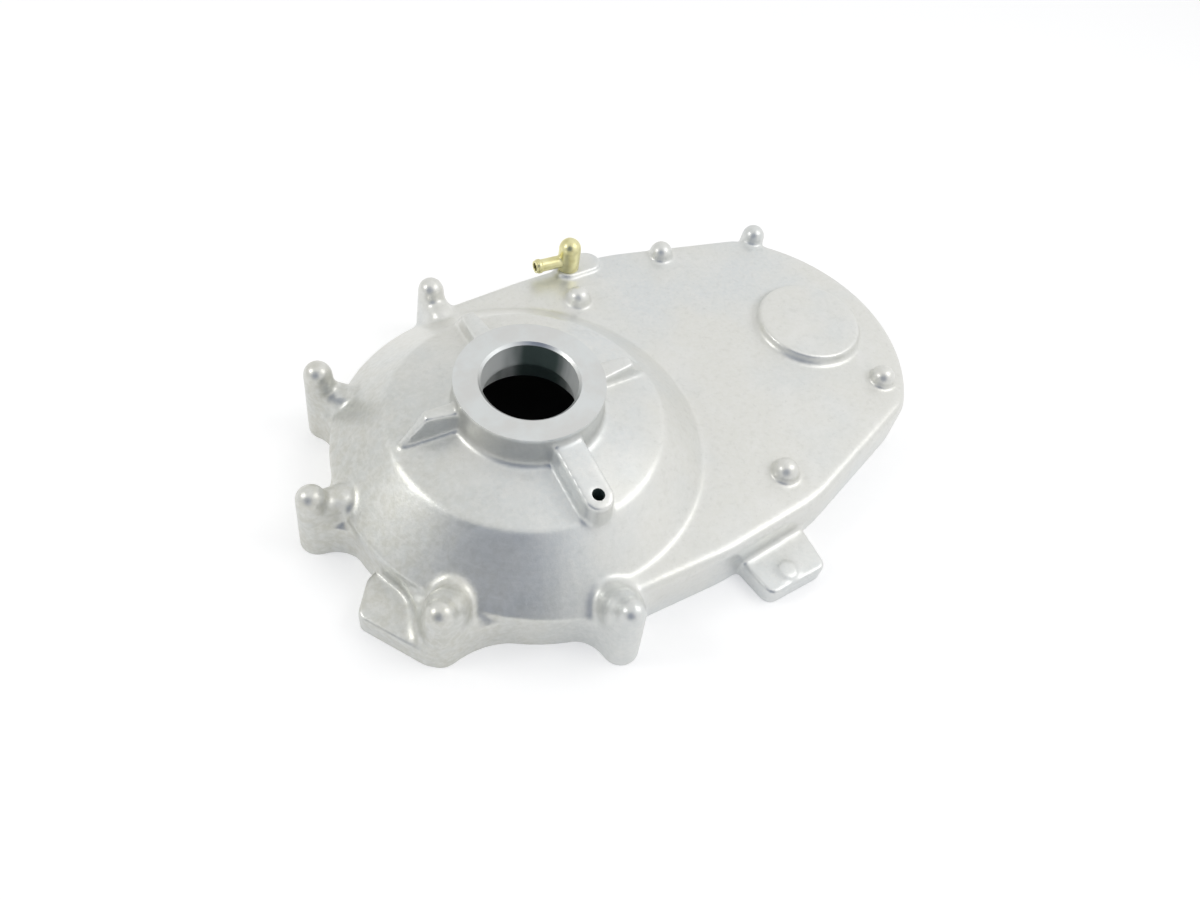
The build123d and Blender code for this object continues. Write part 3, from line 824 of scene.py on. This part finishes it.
def wind_threads(name, places, run, sizes, finish):
    """Threads in holes whose mouths are at places in millimetres, as one plain mesh."""
    mesh = bpy.data.meshes.new(name)
    mesh.from_pydata([tuple(value * MM for value in place) for place in places], [], [])
    threads = link(mesh, name)
    step = threads.modifiers.new("threads", "NODES")
    step.node_group = thread_group()
    values = {
        "Root radius": THREAD_ROOT * MM, "Pitch": sizes.thread_pitch, "Depth": sizes.thread_depth, "Run": run * MM,
        "Steps": sizes.thread_steps, "Finish": finish,
    }
    for socket in step.node_group.interface.items_tree:
        if socket.name in values:
            step[socket.identifier] = values[socket.name]
    bake_modifiers(threads)
    return threads


class HOUSING_OT_threads(bpy.types.Operator):
    """Cut threads into the tapped holes of the joint face"""

    bl_idname = "housing.threads"
    bl_label = "Threads"

    def execute(self, context):
        sizes = context.scene.housing_sizes
        look = look_values(context.scene.housing_colours)
        holes = [(x, y, THREAD_FOOT) for x, y in TALL_BOSSES + DECK_BOSSES]
        threads = wind_threads("joint_threads", holes, THREAD_RUN - THREAD_FOOT, sizes, machined_finish(look))
        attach(threads, "root")
        return {"FINISHED"}


class HOUSING_OT_elbow(bpy.types.Operator):
    """Make the brass elbow with a soft root where its tube leaves its body"""

    bl_idname = "housing.elbow"
    bl_label = "Vent elbow"

    def execute(self, context):
        sizes = context.scene.housing_sizes
        look = look_values(context.scene.housing_colours)
        elbow = welded_copy("vent_elbow", "elbow")
        wrap_on_grid(elbow, sizes.elbow_grid)
        points, edges, faces = mesh_arrays(elbow.data)
        soften(points, edges, faces, sizes.elbow_edge_passes, VALLEYS, ELBOW_EDGE_RIDGES)
        soften(points, edges, faces, sizes.elbow_root_passes, VALLEYS, ELBOW_ROOT_RIDGES)
        elbow.data.vertices.foreach_set("co", points.ravel())
        elbow.data.update()
        thin_out(elbow, sizes.elbow_triangles)
        add_edge_marks(elbow.data, ELBOW_MARKS)
        for face in elbow.data.polygons:
            face.use_smooth = True
        finish_piece(elbow, "vent_elbow", "brass", brass_finish(look))
        return {"FINISHED"}


def background_rays(graph):
    """1 for the camera's rays, and 1 for the rays that see the background straight, mirrored or through glass."""
    light = graph.node("ShaderNodeLightPath").socket.node
    seen = Wire(graph, light.outputs["Is Camera Ray"])
    mirrored = Wire(graph, light.outputs["Is Glossy Ray"])
    through = Wire(graph, light.outputs["Is Transmission Ray"])
    return seen, graph.maths("MAXIMUM", graph.maths("MAXIMUM", seen, mirrored), through)


class HOUSING_OT_stage(bpy.types.Operator):
    """Set up the floor, the lights, the background and the camera"""

    bl_idname = "housing.stage"
    bl_label = "Studio"

    def execute(self, context):
        stage = context.scene.housing_stage
        self.add_floor(stage)
        self.add_world(context.scene)
        for softbox in SOFTBOXES:
            self.add_light(*softbox)
        self.add_camera(context.scene, stage)
        return {"FINISHED"}

    def add_floor(self, stage):
        """A wide pale floor just under the joint face, with a dark shadow painted where the case hides it, so that the
        bore stays black.
        """
        mesh = bpy.data.meshes.new("floor")
        corners = [(x * FLOOR_HALF, y * FLOOR_HALF, -FLOOR_DROP) for x, y in ((-1, -1), (1, -1), (1, 1), (-1, 1))]
        mesh.from_pydata(corners, [], [(0, 1, 2, 3)])
        floor = link(mesh, "floor")
        finish, graph = new_finish("floor_paper")
        place = graph.node("ShaderNodeTexCoord", output="Object")
        # Painted shadow: dark and without glow inside the radii under the case
        outside = graph.band(graph.vector("LENGTH", place, output="Value"), *FLOOR_SHADOW_RADII)
        floor_with_painted_shadow = graph.mix(outside, FLOOR_SHADOW_COLOUR, tuple(stage.floor))
        _, behind = background_rays(graph)
        lit = behind * outside * stage.floor_glow
        matt = graph.node("ShaderNodeBsdfDiffuse", None, {"Color": floor_with_painted_shadow})
        glow = graph.node("ShaderNodeEmission", None, {"Color": WHITE, "Strength": lit})
        surface = graph.node("ShaderNodeAddShader", None, {0: matt, 1: glow})
        graph.node("ShaderNodeOutputMaterial", None, {"Surface": surface})
        mesh.materials.append(finish)

    def add_world(self, scene):
        """A pale room, lighter to the right, darker beside the camera, and white where the camera sees it."""
        world = bpy.data.worlds.new("studio")
        world.use_nodes = True
        scene.world = world
        graph = Graph(world.node_tree)
        heading = graph.node("ShaderNodeTexCoord", output="Generated")
        bright_side = graph.vector("DOT_PRODUCT", heading, BRIGHT_SIDE, "Value")
        dark_side = graph.vector("DOT_PRODUCT", heading, DARK_SIDE, "Value")
        room = graph.mix(graph.band(bright_side, 0.05, 0.95), ROOM_COLOUR, WHITE)
        room = graph.mix(graph.band(dark_side, 0.77, 0.97), room, DARK_SIDE_COLOUR)
        seen, behind = background_rays(graph)
        colour = graph.mix(seen, room, WHITE)
        strength = ROOM_LEVEL + behind * BACKGROUND_MORE
        surface = graph.node("ShaderNodeBackground", None, {"Color": colour, "Strength": strength})
        graph.node("ShaderNodeOutputWorld", None, {"Surface": surface})

    def add_light(self, name, place, target, size, power, tint):
        """A rectangular softbox turned to a point."""
        lamp = bpy.data.lights.new(name, "AREA")
        lamp.shape = "RECTANGLE"
        lamp.size, lamp.size_y = size
        lamp.energy = power
        lamp.color = tint
        light = bpy.data.objects.new(name, lamp)
        bpy.context.scene.collection.objects.link(light)
        away = Vector(place) - Vector(target)
        light.matrix_world = Matrix.Translation(place) @ away.to_track_quat("Z", "Y").to_matrix().to_4x4()

    def add_camera(self, scene, stage):
        """The camera at the photograph's place."""
        data = bpy.data.cameras.new("camera")
        data.sensor_width = 36.0
        data.lens = stage.lens
        data.clip_start = 0.01
        camera = bpy.data.objects.new("camera", data)
        scene.collection.objects.link(camera)
        level = math.cos(stage.elevation)
        back = Vector((
            level * math.cos(stage.azimuth), level * math.sin(stage.azimuth), math.sin(stage.elevation),
        ))
        right = (-back).cross(Vector((0, 0, 1))).normalized()
        up = right.cross(-back)
        across = right * math.cos(stage.roll) + up * math.sin(stage.roll)
        upward = up * math.cos(stage.roll) - right * math.sin(stage.roll)
        target = Vector(CAMERA_TARGET) * MM
        turn = Matrix((across, upward, back)).transposed().to_4x4()
        camera.matrix_world = Matrix.Translation(target + back * stage.distance) @ turn
        scene.camera = camera
        scene.view_settings.view_transform = "Standard"


class HOUSING_PT_panel(bpy.types.Panel):
    """Buttons and settings for the housing"""

    bl_idname = "HOUSING_PT_panel"
    bl_label = "Die cast housing"
    bl_space_type = "VIEW_3D"
    bl_region_type = "UI"
    bl_category = "Housing"

    def draw(self, context):
        layout = self.layout
        for operator in OPERATORS:
            layout.operator(operator.bl_idname)
        for group in (context.scene.housing_sizes, context.scene.housing_colours, context.scene.housing_stage):
            column = layout.column()
            for name in type(group).__annotations__:
                column.prop(group, name)


OPERATORS = (HOUSING_OT_casting, HOUSING_OT_threads, HOUSING_OT_elbow, HOUSING_OT_stage)
GROUPS = {"housing_sizes": HousingSizes, "housing_colours": HousingColours, "housing_stage": HousingStage}


def register():
    for group in GROUPS.values():
        bpy.utils.register_class(group)
    for operator in OPERATORS:
        bpy.utils.register_class(operator)
    bpy.utils.register_class(HOUSING_PT_panel)
    for name, group in GROUPS.items():
        setattr(bpy.types.Scene, name, bpy.props.PointerProperty(type=group))


def unregister():
    for name in GROUPS:
        delattr(bpy.types.Scene, name)
    bpy.utils.unregister_class(HOUSING_PT_panel)
    for operator in OPERATORS:
        bpy.utils.unregister_class(operator)
    for group in GROUPS.values():
        bpy.utils.unregister_class(group)


def main():
    register()
    bpy.ops.housing.casting()
    bpy.ops.housing.threads()
    bpy.ops.housing.elbow()
    bpy.ops.housing.stage()


if __name__ == "__main__":
    main()
